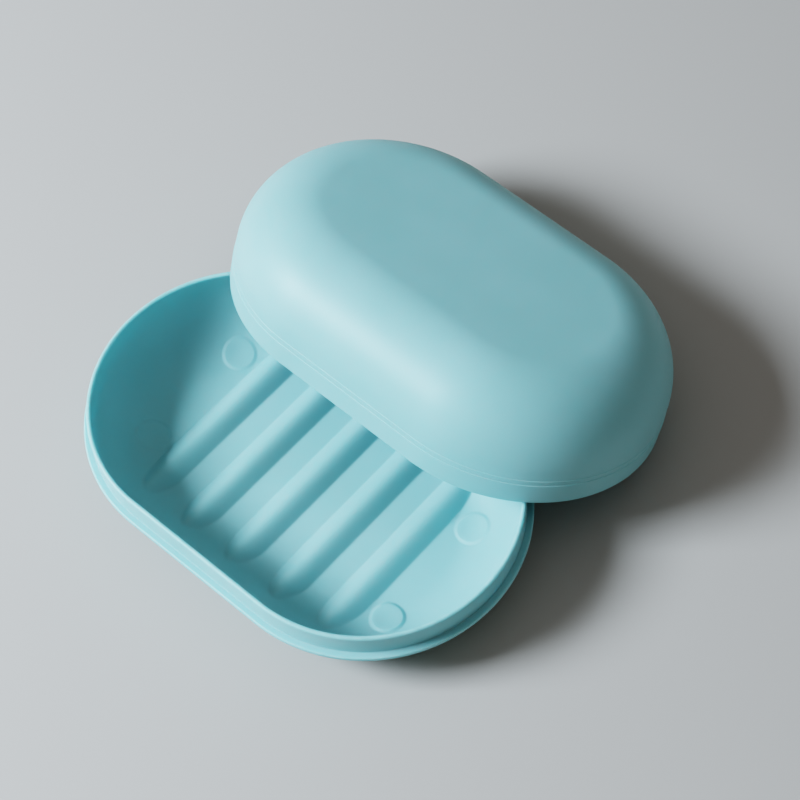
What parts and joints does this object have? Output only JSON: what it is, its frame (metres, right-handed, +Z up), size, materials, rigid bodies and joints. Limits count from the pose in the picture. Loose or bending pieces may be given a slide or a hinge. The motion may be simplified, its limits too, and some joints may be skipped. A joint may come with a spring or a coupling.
{
  "type": "travel soap box",
  "caption": "Oval travel soap box with a ribbed draining base and a loose domed lid, which leans on the base's lip.",
  "frame": {"origin": "centre of the base's flat underside, on the table", "axes": "+X along the box's length, +Y across it towards the side where the lid leans, +Z up"},
  "size_m": [0.118, 0.1236, 0.0459],
  "materials": {
    "base_plastic": "satin moulded polypropylene, pale teal",
    "lid_plastic": "satin moulded polypropylene, pale teal"
  },
  "bodies": {
    "base": {"base": "base_plastic"},
    "lid": {"lid": "lid_plastic"}
  },
  "joints": [
    {"name": "lid_lift", "type": "slide", "parent": "base", "child": "lid", "axis": [0, 0, 1], "range_m": [0, 0.06]}
  ]
}
